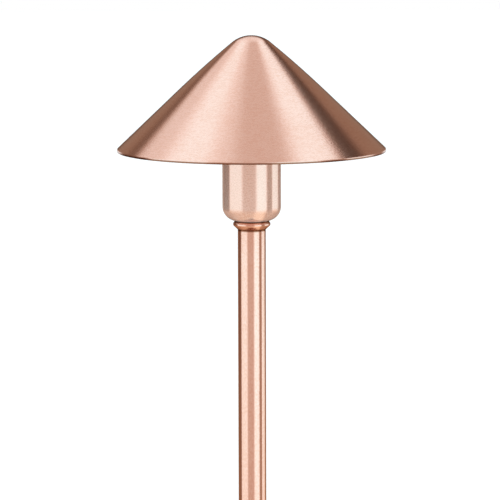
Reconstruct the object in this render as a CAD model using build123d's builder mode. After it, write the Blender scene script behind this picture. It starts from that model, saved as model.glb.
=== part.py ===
from build123d import *
import os
from math import acos, atan2, cos, degrees, hypot, radians, sin, sqrt

# Copper path light: a spun hat over a lamp cup, on a tube stem that screws into a ground stake.
# Millimetres, +Z up. The origin is on the axis at ground level, under the stake's flange.

# Hat
hat_diameter = 203.2
hat_rise = 86.4  # widest line of the rim to the apex
hat_wall = 1.0
crown_radius = 22.9  # rounded apex
swell_radius = 747.0  # slow curve from the crown to the straight flank
swell_turn = 4.1  # degrees that this curve turns through
rim_inner_bend = 1.0
rim_lip = 0.8  # upright edge under the bend

# Boss and yoke that carry the hat
boss_diameter = 11.0
boss_length = 24.0
boss_flange_diameter = 18.0
boss_flange_wall = 2.0
boss_thread_depth = 14.0
yoke_wall = 1.5
yoke_width = 12.0
yoke_bend = 3.0  # inside radius
yoke_rise = 53.3  # cup's top edge to the top of the crossbar
yoke_foot = 7.0  # leg below the thumb screws' axis
yoke_foot_round = 2.0

# Screw under the crossbar
hat_screw_diameter = 5.0
hat_screw_grip = 10.0  # length inside the boss
hat_screw_head_diameter = 9.5
hat_screw_head = 3.4
hex_key = 3.0  # across flats
hex_key_depth = 2.0
hat_washer_diameter = 9.2
hat_washer_wall = 1.2

# Thumb screws and the inserts that they turn in
thumb_thread_diameter = 4.0
thumb_thread_pitch = 0.7
thumb_thread_depth = 0.3
thumb_drop = 8.0  # cup's top edge down to the screws' axis
thumb_tip = 6.5  # screw inside the cup's outer wall
thumb_head_diameter = 13.0
thumb_head = 6.5
thumb_shoulder_diameter = 8.0
thumb_shoulder = 1.5
thumb_flutes = 20
thumb_flute_radius = 0.7
thumb_head_edge = 0.6
thumb_washer_diameter = 10.0
thumb_washer_wall = 0.8
insert_flange_diameter = 10.0
insert_neck_diameter = 6.6
insert_depth = 5.6  # cup's outer wall to the insert's inner end

# Lamp cup and the collar under it
cup_diameter = 44.4
cup_height = 62.0
cup_wall = 1.2
cup_corner = 11.0  # outer radius of the bottom edge
cup_edge_round = 0.4
collar_height = 6.4
collar_top_reach = 2.25  # beyond the stem's surface
collar_nose_reach = 4.1  # beyond the stem's surface, before rounding
collar_nose_height = 3.55
collar_nose_round = 1.8
collar_foot_land = 0.2
gasket_wall = 1.0

# Stem and the nipple at its top
stem_diameter = 21.3
stem_wall = 2.0
stem_length = 425.7
stem_edge = 0.8
stem_thread_pitch = 1.814
stem_thread_depth = 0.75
insert_length = 14.0
nipple_diameter = 10.0
nipple_wall = 1.5
nipple_grip = 10.0  # length inside the stem's insert
nipple_proud = 1.5
nipple_thread_pitch = 1.0
nipple_thread_depth = 0.4
floor_washer_diameter = 13.2
floor_washer_wall = 2.0
cup_lock_washer_diameter = 14.4
cup_lock_washer_wall = 1.2
cup_lock_nut_across = 14.0
cup_lock_nut_height = 4.5
washer_split = 1.0
grommet_flange = 1.2
grommet_neck = 4.0

# Lamp socket and its bracket
bracket_wall = 1.0
bracket_width = 14.0
bracket_bend = 1.2  # inside radius
bracket_leg_gap = 1.8  # leg beside the socket's barrel
bracket_tab = 5.2
bracket_tab_round = 5.0
socket_drop = 6.5  # cup's top edge down to the socket's top
socket_height = 22.0
socket_diameter = 16.0
socket_base = 3.0
socket_edge = 0.6
slot_end_gap = 0.45  # slot beyond each edge of the wedge
slot_face_gap = 0.3  # slot beyond each face of the wedge
slot_floor_gap = 0.9  # slot below the lamp's folded leads
contact_wall = 0.4
contact_margin = 0.25  # contact beyond each lead
contact_tail = 5.0  # below the socket
contact_drop = 0.8  # below the socket's top
contact_pocket_margin = 0.3
socket_screw_diameter = 2.5
socket_screw_tip = 1.5  # below the tab
socket_screw_head_diameter = 4.6
socket_screw_head = 1.6
driver_slot = 0.7

# Wedge-base lamp
lamp_diameter = 15.5
lamp_length = 38.0
lamp_wall = 0.7
lamp_shoulder = 4.0
wedge_width = 9.5
wedge_wall = 2.2
wedge_height = 9.0
lamp_lead_diameter = 0.5
lamp_lead_spacing = 4.0
lamp_fold_height = 6.0
lamp_fold_round = 0.45  # share of the fold's width
filament_height = 20.5  # above the wedge's foot
filament_diameter = 0.9

# Wires down the stem
wire_diameter = 2.3
wire_gap = 0.4  # between the wires inside the stem
wire_bend = 12.0
wire_straight = 4.0  # out of a terminal, before the first bend
wire_side_step = 8.0  # height of the step out to the connectors
connector_diameter = 6.0
connector_length = 16.0
connector_gap = 0.4
connector_throat = 0.6  # depth of the crimp
connector_drop = 10.0  # stem's foot down to the connectors

# Ground stake
hub_rise = 16.0  # hub above the ground
hub_wall = 3.85
hub_floor = 5.0
hub_edge = 1.2
hub_foot_edge = 3.0
thread_depth = 24.0  # stem inside the hub
seat_ledge = 1.35  # ledge under the stem's foot
chamber_depth = 36.0  # below the stem's seat
flange_diameter = 64.0
flange_wall = 4.0
flange_edge = 1.2
fin_rise = 5.5  # beyond the hub
fin_wall = 3.6
fin_shoulder = 46.0  # depth at which the fins start to taper
fin_tip = 1.6
fin_tip_edge = 0.7
stake_depth = 216.0
outlet_depth = 25.0  # cable outlet's axis below the ground
outlet_boss_diameter = 17.0
outlet_boss_rise = 4.0  # beyond the hub
cable_hole_diameter = 11.0
cable_grommet_bore = 8.0
cable_grommet_flange_diameter = 15.0
cable_grommet_flange = 1.8
cable_grommet_setback = 0.7  # sleeve's end, short of the wire chamber

# Clearances
thread_clearance = 0.03  # radial, between a screw and what it turns in
solder_gap = 0.02
slip_gap = 0.05  # between pieces that are pushed together
leg_gap = 0.3  # yoke's legs beside the cup
washer_gap = 0.1
lamp_seat_gap = 0.3  # wedge's shoulder above the socket

# Heights, from the ground up
stem_seat = hub_rise - thread_depth
stem_top = stem_seat + stem_length
cup_base = stem_top + gasket_wall
cup_floor = cup_base + cup_wall
cup_top = cup_base + cup_height
bracket_base = cup_floor + floor_washer_wall
washer_base = bracket_base + bracket_wall
nut_base = washer_base + cup_lock_washer_wall
nipple_top = nut_base + cup_lock_nut_height + nipple_proud
socket_top = cup_top - socket_drop
socket_foot = socket_top - socket_height
thumb_z = cup_top - thumb_drop
bar_top = cup_top + yoke_rise
bar_base = bar_top - yoke_wall
crown_inside = bar_top + boss_length
apex = crown_inside + hat_wall
rim_z = apex - hat_rise
wedge_foot = socket_top + lamp_seat_gap - wedge_height
lamp_top = wedge_foot + lamp_length
filament_z = wedge_foot + filament_height
connector_top = stem_seat - connector_drop
outlet_z = -outlet_depth

# Radii and reaches
stem_radius = stem_diameter / 2
stem_bore = stem_radius - stem_wall
cup_radius = cup_diameter / 2
cup_inside = cup_radius - cup_wall
nipple_radius = nipple_diameter / 2
nipple_bore = nipple_radius - nipple_wall
nipple_hole = nipple_radius + slip_gap
collar_bore = stem_radius + solder_gap
leg_inside = cup_radius + leg_gap
leg_outside = leg_inside + yoke_wall
washer_x = leg_outside + washer_gap
shoulder_x = washer_x + thumb_washer_wall + slip_gap
head_x = shoulder_x + thumb_shoulder
thumb_radius = thumb_thread_diameter / 2
slot_radius = thumb_radius + washer_gap
bracket_leg_inside = socket_diameter / 2 + bracket_leg_gap
bracket_leg_outside = bracket_leg_inside + bracket_wall
bracket_reach = bracket_leg_outside + bracket_tab
socket_screw_y = bracket_leg_outside + bracket_tab / 2
socket_screw_radius = socket_screw_diameter / 2
contact_y = (wedge_wall + contact_wall) / 2 + lamp_lead_diameter + washer_gap
wire_radius = wire_diameter / 2
wire_y = (wire_diameter + wire_gap) / 2
connector_y = (connector_diameter + connector_gap) / 2
slot_length = wedge_width + 2 * slot_end_gap
slot_width = wedge_wall + 2 * slot_face_gap
slot_depth = wedge_height + lamp_lead_diameter + slot_floor_gap
contact_width = lamp_lead_spacing + lamp_lead_diameter + 2 * contact_margin
hub_radius = stem_radius + hub_wall
chamber_radius = stem_radius - seat_ledge
outlet_face = hub_radius + outlet_boss_rise
fin_reach = hub_radius + fin_rise


def save(piece, name):
    piece.part.label = name
    export_step(piece.part, f"parts/{name}.step")


def grooves(radius, start, end, pitch, depth, turned=False):
    """Draw the half profiles of a thread's grooves, from start to end along the axis."""
    count = int((end - start) / pitch)
    steps = [start + pitch * (step + 0.5) for step in range(count)]
    with Locations(*[(step, radius) if turned else (radius, step) for step in steps]):
        Rectangle(depth * sqrt(2), depth * sqrt(2), rotation=45)


def across(x, z):
    """Plane square to X through the axis plane y = 0, facing +X."""
    return Plane(origin=(x, 0, z), x_dir=(0, 1, 0), z_dir=(1, 0, 0))


def facing_back(y):
    """Plane square to Y on the cable outlet's axis, facing +Y."""
    return Plane(origin=(0, y, outlet_z), x_dir=(-1, 0, 0), z_dir=(0, 1, 0))


os.makedirs("parts", exist_ok=True)

# The hat's flank angle is the one at which the crown's arc, the swell and a straight flank
# meet in tangents between the apex and the bend at the rim.
rim_bend = rim_inner_bend + hat_wall
crown_z = apex - crown_radius
bend_x = hat_diameter / 2 - rim_bend
swell_step = swell_radius - crown_radius
meeting = swell_step * cos(radians(swell_turn)) - (swell_radius - rim_bend)
flank_span = hypot(crown_z - rim_z, bend_x)
flank_angle = degrees(acos(meeting / flank_span) - atan2(bend_x, crown_z - rim_z))
crown_turn = flank_angle - swell_turn
swell_x = -swell_step * sin(radians(crown_turn))
swell_z = crown_z - swell_step * cos(radians(crown_turn))


def hat_curve(inset):
    """Draw the hat's half profile, parallel to its outer face and inset from it."""
    crown = CenterArc((0, crown_z), crown_radius - inset, 90, -crown_turn)
    swell = CenterArc((swell_x, swell_z), swell_radius - inset, 90 - crown_turn, -swell_turn)
    bend = CenterArc((bend_x, rim_z), rim_bend - inset, 90 - flank_angle, flank_angle - 90)
    Line(swell @ 1, bend @ 0)
    lip = Line(bend @ 1, (bend @ 1) - Vector(0, rim_lip))
    return crown @ 0, lip @ 1


with BuildPart() as hat:
    with BuildSketch(Plane.XZ):
        with BuildLine():
            outer_apex, outer_lip = hat_curve(0)
            inner_apex, inner_lip = hat_curve(hat_wall)
            Line(outer_apex, inner_apex)
            Line(outer_lip, inner_lip)
        make_face()
    revolve(axis=Axis.Z)
save(hat, "hat")

# The boss's top follows the inside of the crown.
boss_dome = crown_radius - hat_wall - solder_gap
boss_flange_radius = boss_flange_diameter / 2
boss_shoulder = crown_z + sqrt(boss_dome**2 - boss_flange_radius**2)
with BuildPart() as hat_boss:
    with BuildSketch(Plane.XZ):
        with BuildLine():
            Polyline(
                (0, crown_z + boss_dome),
                (0, bar_top),
                (boss_diameter / 2, bar_top),
                (boss_diameter / 2, boss_shoulder - boss_flange_wall),
                (boss_flange_radius, boss_shoulder - boss_flange_wall),
                (boss_flange_radius, boss_shoulder),
            )
            dome_turn = degrees(acos(boss_flange_radius / boss_dome))
            CenterArc((0, crown_z), boss_dome, dome_turn, 90 - dome_turn)
        make_face()
    revolve(axis=Axis.Z)
    with BuildSketch(Plane.XY.offset(bar_top)):
        Circle(hat_screw_diameter / 2 + thread_clearance)
    extrude(amount=boss_thread_depth, mode=Mode.SUBTRACT)
save(hat_boss, "hat_boss")

# The yoke's legs have slots that are open at the foot, so they drop over the thumb screws.
yoke_base = thumb_z - yoke_foot
with BuildPart() as hat_yoke:
    with BuildSketch(Plane.XZ):
        with BuildLine():
            outer = FilletPolyline(
                (-leg_outside, yoke_base),
                (-leg_outside, bar_top),
                (leg_outside, bar_top),
                (leg_outside, yoke_base),
                radius=yoke_bend + yoke_wall,
            )
            inner = FilletPolyline(
                (-leg_inside, yoke_base),
                (-leg_inside, bar_base),
                (leg_inside, bar_base),
                (leg_inside, yoke_base),
                radius=yoke_bend,
            )
            Line(outer @ 0, inner @ 0)
            Line(outer @ 1, inner @ 1)
        make_face()
    extrude(amount=yoke_width / 2, both=True)
    fillet(edges().filter_by(Axis.X).group_by(Axis.Z)[0], yoke_foot_round)
    with BuildSketch(across(0, thumb_z)):
        Circle(slot_radius)
        with Locations((0, -yoke_foot)):
            Rectangle(2 * slot_radius, 2 * yoke_foot)
    extrude(amount=leg_outside, both=True, mode=Mode.SUBTRACT)
    with BuildSketch(Plane.XY.offset(bar_base)):
        Circle(hat_screw_diameter / 2 + slip_gap)
    extrude(amount=yoke_wall, mode=Mode.SUBTRACT)
save(hat_yoke, "hat_yoke")


def split_ring(outside, hole):
    """Draw a ring with one narrow cut."""
    Circle(outside)
    Circle(hole, mode=Mode.SUBTRACT)
    with Locations((outside / 2, 0)):
        Rectangle(outside, washer_split, mode=Mode.SUBTRACT)


with BuildPart() as hat_lock_washer:
    with BuildSketch(Plane.XY.offset(bar_base - hat_washer_wall)):
        split_ring(hat_washer_diameter / 2, hat_screw_diameter / 2 + slip_gap)
    extrude(amount=hat_washer_wall)
save(hat_lock_washer, "hat_lock_washer")

hat_head_top = bar_base - hat_washer_wall
hat_head_base = hat_head_top - hat_screw_head
with BuildPart() as hat_screw:
    with BuildSketch(Plane.XY.offset(hat_head_base)):
        Circle(hat_screw_head_diameter / 2)
    extrude(amount=hat_screw_head)
    fillet(edges().group_by(Axis.Z)[0], hat_screw_head / 4)
    with BuildSketch(Plane.XY.offset(hat_head_top)):
        Circle(hat_screw_diameter / 2)
    extrude(amount=bar_top + hat_screw_grip - hat_head_top)
    chamfer(edges().group_by(Axis.Z)[-1], hat_screw_diameter / 10)
    with BuildSketch(Plane.XY.offset(hat_head_base)):
        RegularPolygon(hex_key / 2, 6, major_radius=False)
    extrude(amount=hex_key_depth, mode=Mode.SUBTRACT)
save(hat_screw, "hat_screw")

with BuildPart() as thumb_screw_right:
    with BuildSketch(across(head_x, thumb_z)):
        Circle(thumb_head_diameter / 2)
    extrude(amount=thumb_head)
    chamfer(edges().filter_by(GeomType.CIRCLE), thumb_head_edge)
    with BuildSketch(across(head_x, thumb_z)):
        with PolarLocations(thumb_head_diameter / 2, thumb_flutes):
            Circle(thumb_flute_radius)
    extrude(amount=thumb_head, mode=Mode.SUBTRACT)
    with BuildSketch(across(shoulder_x, thumb_z)):
        Circle(thumb_shoulder_diameter / 2)
    extrude(amount=thumb_shoulder)
    with BuildSketch(across(cup_radius - thumb_tip, thumb_z)):
        Circle(thumb_radius)
    extrude(amount=shoulder_x - cup_radius + thumb_tip)
    chamfer(edges().group_by(Axis.X)[0], thumb_radius / 4)
    with BuildSketch(Plane.XZ.shift_origin((0, 0, thumb_z))):
        grooves(
            thumb_radius,
            cup_radius - thumb_tip + thumb_thread_pitch,
            leg_inside,
            thumb_thread_pitch,
            thumb_thread_depth,
            turned=True,
        )
    revolve(axis=Axis((0, 0, thumb_z), (1, 0, 0)), mode=Mode.SUBTRACT)
save(thumb_screw_right, "thumb_screw_right")

with BuildPart() as thumb_screw_left:
    add(thumb_screw_right.part, rotation=(0, 0, 180))
save(thumb_screw_left, "thumb_screw_left")

with BuildPart() as thumb_washer_right:
    with BuildSketch(across(washer_x, thumb_z)):
        Circle(thumb_washer_diameter / 2)
        Circle(thumb_radius + slip_gap, mode=Mode.SUBTRACT)
    extrude(amount=thumb_washer_wall)
save(thumb_washer_right, "thumb_washer_right")

with BuildPart() as thumb_washer_left:
    add(thumb_washer_right.part, rotation=(0, 0, 180))
save(thumb_washer_left, "thumb_washer_left")

# Each insert's flange follows the inside of the cup, and its neck ends flush with the outside.
insert_end = cup_radius - insert_depth
with BuildPart() as cup_inserts:
    with BuildSketch(across(insert_end, thumb_z)):
        Circle(insert_flange_diameter / 2)
    extrude(amount=insert_depth)
    with BuildSketch(Plane.XY.offset(cup_floor)):
        Circle(cup_inside)
    extrude(amount=cup_height, mode=Mode.INTERSECT)
    with BuildSketch(across(insert_end, thumb_z)):
        Circle(insert_neck_diameter / 2)
    extrude(amount=insert_depth)
    with BuildSketch(Plane.XY.offset(cup_floor)):
        Circle(cup_radius - solder_gap)
    extrude(amount=cup_height, mode=Mode.INTERSECT)
    with BuildSketch(across(insert_end, thumb_z)):
        Circle(thumb_radius + thread_clearance)
    extrude(amount=insert_depth, mode=Mode.SUBTRACT)
    mirror(about=Plane.YZ)
save(cup_inserts, "cup_inserts")

with BuildPart() as cup_hollow:
    with BuildSketch(Plane.XY.offset(cup_floor)):
        Circle(cup_inside)
    extrude(amount=cup_height)
    fillet(edges().group_by(Axis.Z)[0], cup_corner - cup_wall)

with BuildPart() as lamp_cup:
    with BuildSketch(Plane.XY.offset(cup_base)):
        Circle(cup_radius)
    extrude(amount=cup_height)
    fillet(edges().group_by(Axis.Z)[0], cup_corner)
    add(cup_hollow.part, mode=Mode.SUBTRACT)
    fillet(edges().group_by(Axis.Z)[-1], cup_edge_round)
    with BuildSketch(Plane.XY.offset(cup_base)):
        Circle(nipple_hole)
    extrude(amount=cup_wall, mode=Mode.SUBTRACT)
    with BuildSketch(across(0, thumb_z)):
        Circle(insert_neck_diameter / 2 + solder_gap)
    extrude(amount=cup_radius, both=True, mode=Mode.SUBTRACT)
save(lamp_cup, "lamp_cup")

collar_base = cup_base - collar_height
with BuildPart() as neck_collar:
    with BuildSketch(Plane.XZ):
        with BuildLine():
            Polyline(
                (collar_bore, collar_base),
                (collar_bore + collar_foot_land, collar_base),
                (stem_radius + collar_nose_reach, collar_base + collar_nose_height),
                (stem_radius + collar_top_reach, cup_base),
                (collar_bore, cup_base),
                close=True,
            )
        make_face()
        fillet(vertices().sort_by(Axis.X)[-1], collar_nose_round)
    revolve(axis=Axis.Z)
save(neck_collar, "neck_collar")

with BuildPart() as neck_gasket:
    with BuildSketch(Plane.XY.offset(stem_top)):
        Circle(collar_bore - slip_gap)
        Circle(nipple_hole, mode=Mode.SUBTRACT)
    extrude(amount=gasket_wall)
save(neck_gasket, "neck_gasket")

with BuildPart() as stem:
    with BuildSketch(Plane.XY.offset(stem_seat)):
        Circle(stem_radius)
        Circle(stem_bore, mode=Mode.SUBTRACT)
    extrude(amount=stem_length)
    chamfer(edges().group_by(Axis.Z)[0].sort_by(SortBy.LENGTH)[-1], stem_edge)
    with BuildSketch(Plane.XZ):
        grooves(
            stem_radius,
            stem_seat + stem_edge,
            stem_seat + thread_depth,
            stem_thread_pitch,
            stem_thread_depth,
        )
    revolve(axis=Axis.Z, mode=Mode.SUBTRACT)
save(stem, "stem")

with BuildPart() as stem_insert:
    with BuildSketch(Plane.XY.offset(stem_top - insert_length)):
        Circle(stem_bore - solder_gap)
        Circle(nipple_radius + thread_clearance, mode=Mode.SUBTRACT)
    extrude(amount=insert_length)
save(stem_insert, "stem_insert")

with BuildPart() as neck_nipple:
    with BuildSketch(Plane.XY.offset(stem_top - nipple_grip)):
        Circle(nipple_radius)
        Circle(nipple_bore, mode=Mode.SUBTRACT)
    extrude(amount=nipple_top - stem_top + nipple_grip)
    with BuildSketch(Plane.XZ):
        grooves(
            nipple_radius,
            stem_top - nipple_grip,
            nipple_top,
            nipple_thread_pitch,
            nipple_thread_depth,
        )
    revolve(axis=Axis.Z, mode=Mode.SUBTRACT)
save(neck_nipple, "neck_nipple")

with BuildPart() as floor_washer:
    with BuildSketch(Plane.XY.offset(cup_floor)):
        Circle(floor_washer_diameter / 2)
        Circle(nipple_hole, mode=Mode.SUBTRACT)
    extrude(amount=floor_washer_wall)
save(floor_washer, "floor_washer")

with BuildPart() as cup_lock_washer:
    with BuildSketch(Plane.XY.offset(washer_base)):
        split_ring(cup_lock_washer_diameter / 2, nipple_hole)
    extrude(amount=cup_lock_washer_wall)
save(cup_lock_washer, "cup_lock_washer")

with BuildPart() as cup_lock_nut:
    with BuildSketch(Plane.XY.offset(nut_base)):
        RegularPolygon(cup_lock_nut_across / 2, 6, major_radius=False)
        Circle(nipple_radius + thread_clearance, mode=Mode.SUBTRACT)
    extrude(amount=cup_lock_nut_height)
save(cup_lock_nut, "cup_lock_nut")

with BuildPart() as wire_grommet:
    with BuildSketch(Plane.XY.offset(nipple_top)):
        Circle(nipple_radius)
    extrude(amount=grommet_flange)
    fillet(edges().group_by(Axis.Z)[-1], grommet_flange / 3)
    with BuildSketch(Plane.XY.offset(nipple_top)):
        Circle(nipple_bore - slip_gap)
    extrude(amount=-grommet_neck)
    with BuildSketch(Plane.XY.offset(nipple_top + grommet_flange)):
        with Locations((0, wire_y), (0, -wire_y)):
            Circle(wire_radius + thread_clearance)
    extrude(amount=-(grommet_flange + grommet_neck), mode=Mode.SUBTRACT)
save(wire_grommet, "wire_grommet")

# The bracket is one strip: tab, leg, base, leg, tab.
tab_base = socket_foot - bracket_wall
with BuildPart() as socket_bracket:
    with BuildSketch(Plane.YZ):
        with BuildLine():
            under = FilletPolyline(
                (bracket_reach, tab_base),
                (bracket_leg_outside, tab_base),
                (bracket_leg_outside, bracket_base),
                (-bracket_leg_outside, bracket_base),
                (-bracket_leg_outside, tab_base),
                (-bracket_reach, tab_base),
                radius=[bracket_bend] + [bracket_bend + bracket_wall] * 2 + [bracket_bend],
            )
            over = FilletPolyline(
                (bracket_reach, socket_foot),
                (bracket_leg_inside, socket_foot),
                (bracket_leg_inside, washer_base),
                (-bracket_leg_inside, washer_base),
                (-bracket_leg_inside, socket_foot),
                (-bracket_reach, socket_foot),
                radius=[bracket_bend + bracket_wall] + [bracket_bend] * 2 + [bracket_bend + bracket_wall],
            )
            Line(under @ 0, over @ 0)
            Line(under @ 1, over @ 1)
        make_face()
    extrude(amount=bracket_width / 2, both=True)
    tab_edges = edges().filter_by(Axis.Z).filter_by_position(Axis.Z, tab_base, socket_foot)
    fillet(tab_edges, bracket_tab_round)
    with BuildSketch(Plane.XY.offset(bracket_base)):
        Circle(nipple_hole)
    extrude(amount=bracket_wall, mode=Mode.SUBTRACT)
    with BuildSketch(Plane.XY.offset(tab_base)):
        with Locations((0, socket_screw_y), (0, -socket_screw_y)):
            Circle(socket_screw_radius + thread_clearance)
    extrude(amount=bracket_wall, mode=Mode.SUBTRACT)
save(socket_bracket, "socket_bracket")

# The wedge's slot opens upward, and the contacts stand in pockets on both sides of it.
pocket_reach = contact_y + contact_wall / 2 + contact_pocket_margin
with BuildPart() as lamp_socket:
    with BuildSketch(Plane.XY.offset(socket_foot)):
        Circle(socket_diameter / 2)
    extrude(amount=socket_height)
    chamfer(edges().group_by(Axis.Z)[-1], socket_edge)
    with BuildSketch(Plane.XY.offset(socket_foot)):
        SlotOverall(2 * bracket_reach, bracket_width, rotation=90)
    extrude(amount=socket_base)
    with BuildSketch(Plane.XY.offset(socket_top)):
        Rectangle(slot_length, slot_width)
    extrude(amount=-slot_depth, mode=Mode.SUBTRACT)
    with BuildSketch(Plane.XY.offset(socket_foot)):
        Rectangle(contact_width + 2 * contact_pocket_margin, 2 * pocket_reach)
        Rectangle(contact_width + 2 * contact_pocket_margin, slot_width, mode=Mode.SUBTRACT)
    extrude(amount=socket_height, mode=Mode.SUBTRACT)
    with BuildSketch(Plane.XY.offset(socket_foot)):
        with Locations((0, socket_screw_y), (0, -socket_screw_y)):
            Circle(socket_screw_radius + slip_gap)
    extrude(amount=socket_base, mode=Mode.SUBTRACT)
save(lamp_socket, "lamp_socket")

with BuildPart() as socket_contacts:
    with BuildSketch(Plane.XY.offset(socket_foot - contact_tail)):
        with Locations((0, contact_y), (0, -contact_y)):
            Rectangle(contact_width, contact_wall)
    extrude(amount=contact_tail + socket_height - contact_drop)
save(socket_contacts, "socket_contacts")

screw_head_base = socket_foot + socket_base
with BuildPart() as socket_screws:
    with BuildSketch(Plane.XY.offset(screw_head_base)):
        with Locations((0, socket_screw_y), (0, -socket_screw_y)):
            Circle(socket_screw_head_diameter / 2)
    extrude(amount=socket_screw_head)
    fillet(edges().group_by(Axis.Z)[-1], socket_screw_head / 3)
    with BuildSketch(Plane.XY.offset(screw_head_base + socket_screw_head)):
        with Locations((0, socket_screw_y), (0, -socket_screw_y)):
            Rectangle(socket_screw_head_diameter, driver_slot)
    extrude(amount=-socket_screw_head / 2, mode=Mode.SUBTRACT)
    with BuildSketch(Plane.XY.offset(tab_base - socket_screw_tip)):
        with Locations((0, socket_screw_y), (0, -socket_screw_y)):
            Circle(socket_screw_radius)
    extrude(amount=screw_head_base - tab_base + socket_screw_tip)
save(socket_screws, "socket_screws")

# The envelope is hollow down to the flat pinch, which the lead-in wires pass through.
bulb_radius = lamp_diameter / 2
bulb_base = wedge_foot + wedge_height
lead_hole = lamp_lead_diameter / 2 + slip_gap
with BuildPart() as lamp_hollow:
    with BuildSketch(Plane.XY.offset(bulb_base + lamp_wall)):
        Circle(bulb_radius - lamp_wall)
    extrude(amount=lamp_top - bulb_base - 2 * lamp_wall)
    fillet(edges().group_by(Axis.Z)[0], lamp_shoulder - lamp_wall)
    fillet(edges().group_by(Axis.Z)[-1], bulb_radius - lamp_wall - slip_gap)

with BuildPart() as lamp_glass:
    with BuildSketch(Plane.XY.offset(bulb_base)):
        Circle(bulb_radius)
    extrude(amount=lamp_top - bulb_base)
    fillet(edges().group_by(Axis.Z)[0], lamp_shoulder)
    fillet(edges().group_by(Axis.Z)[-1], bulb_radius - slip_gap)
    with BuildSketch(Plane.XY.offset(wedge_foot)):
        Rectangle(wedge_width, wedge_wall)
    extrude(amount=wedge_height + lamp_wall)
    add(lamp_hollow.part, mode=Mode.SUBTRACT)
    with BuildSketch(Plane.XY.offset(wedge_foot)):
        with Locations((lamp_lead_spacing / 2, 0), (-lamp_lead_spacing / 2, 0)):
            Circle(lead_hole)
    extrude(amount=wedge_height + lamp_wall, mode=Mode.SUBTRACT)
save(lamp_glass, "lamp_glass")

# Each lead-in wire comes out of the wedge's foot and folds up over one of its faces.
lead_y = (wedge_wall + lamp_lead_diameter) / 2 + solder_gap
lead_foot = wedge_foot - lamp_lead_diameter / 2 - slip_gap
with BuildPart() as lamp_leads:
    with BuildLine(across(lamp_lead_spacing / 2, 0)) as lead_route:
        FilletPolyline(
            (0, filament_z + lamp_lead_diameter),
            (0, lead_foot),
            (lead_y, lead_foot),
            (lead_y, wedge_foot + lamp_fold_height),
            radius=lead_y * lamp_fold_round,
        )
    with BuildSketch(Plane(origin=lead_route.line @ 0, z_dir=lead_route.line % 0)):
        Circle(lamp_lead_diameter / 2)
    sweep(path=lead_route.line)
    add(lamp_leads.part, rotation=(0, 0, 180))
save(lamp_leads, "lamp_leads")

filament_reach = lamp_lead_spacing / 2 - lamp_lead_diameter / 2 - solder_gap
with BuildPart() as lamp_filament:
    with BuildSketch(across(-filament_reach, filament_z)):
        Circle(filament_diameter / 2)
    extrude(amount=2 * filament_reach)
save(lamp_filament, "lamp_filament")

# Each wire steps in to pass through the grommet, and steps out again to its connector.
wire_top = socket_foot - contact_tail
grommet_top = nipple_top + grommet_flange
with BuildPart() as lead_wires:
    with BuildLine(Plane.YZ) as wire_route:
        FilletPolyline(
            (contact_y, wire_top),
            (contact_y, wire_top - wire_straight),
            (wire_y, grommet_top + wire_straight),
            (wire_y, connector_top + wire_straight + wire_side_step),
            (connector_y, connector_top + wire_straight),
            (connector_y, connector_top),
            radius=wire_bend,
        )
    with BuildSketch(Plane(origin=wire_route.line @ 0, z_dir=wire_route.line % 0)):
        Circle(wire_radius)
    sweep(path=wire_route.line)
    mirror(about=Plane.XZ)
save(lead_wires, "lead_wires")

crimp_radius = connector_diameter / 2 - connector_throat
connector_foot = connector_top - connector_length
with BuildPart() as wire_connectors:
    with BuildSketch(Plane.XY.offset(connector_foot)):
        with Locations((0, connector_y), (0, -connector_y)):
            Circle(connector_diameter / 2)
    extrude(amount=connector_length)
    fillet(edges().group_by(Axis.Z)[0], connector_diameter / 4)
    with BuildSketch(Plane.XY.offset(connector_foot + connector_length / 2)):
        with Locations((0, connector_y), (0, -connector_y)):
            Circle(connector_diameter / 2)
            Circle(crimp_radius, mode=Mode.SUBTRACT)
    extrude(amount=connector_length / 4, mode=Mode.SUBTRACT)
save(wire_connectors, "wire_connectors")

hub_base = stem_seat - chamber_depth - hub_floor
with BuildPart() as ground_stake:
    for turn in (45, 135):
        along = Vector(cos(radians(turn)), sin(radians(turn)), 0)
        square = Vector(sin(radians(turn)), -cos(radians(turn)), 0)
        with BuildSketch(Plane(origin=(0, 0, 0), x_dir=along, z_dir=square)):
            with BuildLine():
                Polyline(
                    (-fin_reach, 0),
                    (fin_reach, 0),
                    (fin_reach, -fin_shoulder),
                    (fin_tip, -stake_depth),
                    (-fin_tip, -stake_depth),
                    (-fin_reach, -fin_shoulder),
                    close=True,
                )
            make_face()
        extrude(amount=fin_wall / 2, both=True)
    chamfer(edges().group_by(Axis.Z)[0], fin_tip_edge)
    with BuildSketch(Plane.XZ):
        with BuildLine():
            Polyline(
                (0, hub_base),
                (hub_radius - hub_foot_edge, hub_base),
                (hub_radius, hub_base + hub_foot_edge),
                (hub_radius, hub_rise - hub_edge),
                (hub_radius - hub_edge, hub_rise),
                (0, hub_rise),
                close=True,
            )
        make_face()
    revolve(axis=Axis.Z)
    with BuildSketch(facing_back(0)):
        Circle(outlet_boss_diameter / 2)
    extrude(amount=outlet_face)
    with BuildSketch(Plane.XY):
        Circle(flange_diameter / 2)
    extrude(amount=flange_wall)
    rim = edges().filter_by(lambda edge: edge.geom_type == GeomType.CIRCLE).sort_by(SortBy.RADIUS)[-2:]
    fillet(rim.sort_by(Axis.Z)[-1], flange_edge)
    with BuildSketch(Plane.XY.offset(stem_seat)):
        Circle(stem_radius + thread_clearance)
    extrude(amount=thread_depth, mode=Mode.SUBTRACT)
    with BuildSketch(Plane.XY.offset(stem_seat)):
        Circle(chamber_radius)
    extrude(amount=-chamber_depth, mode=Mode.SUBTRACT)
    with BuildSketch(facing_back(0)):
        Circle(cable_hole_diameter / 2)
    extrude(amount=outlet_face, mode=Mode.SUBTRACT)
save(ground_stake, "ground_stake")

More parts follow.
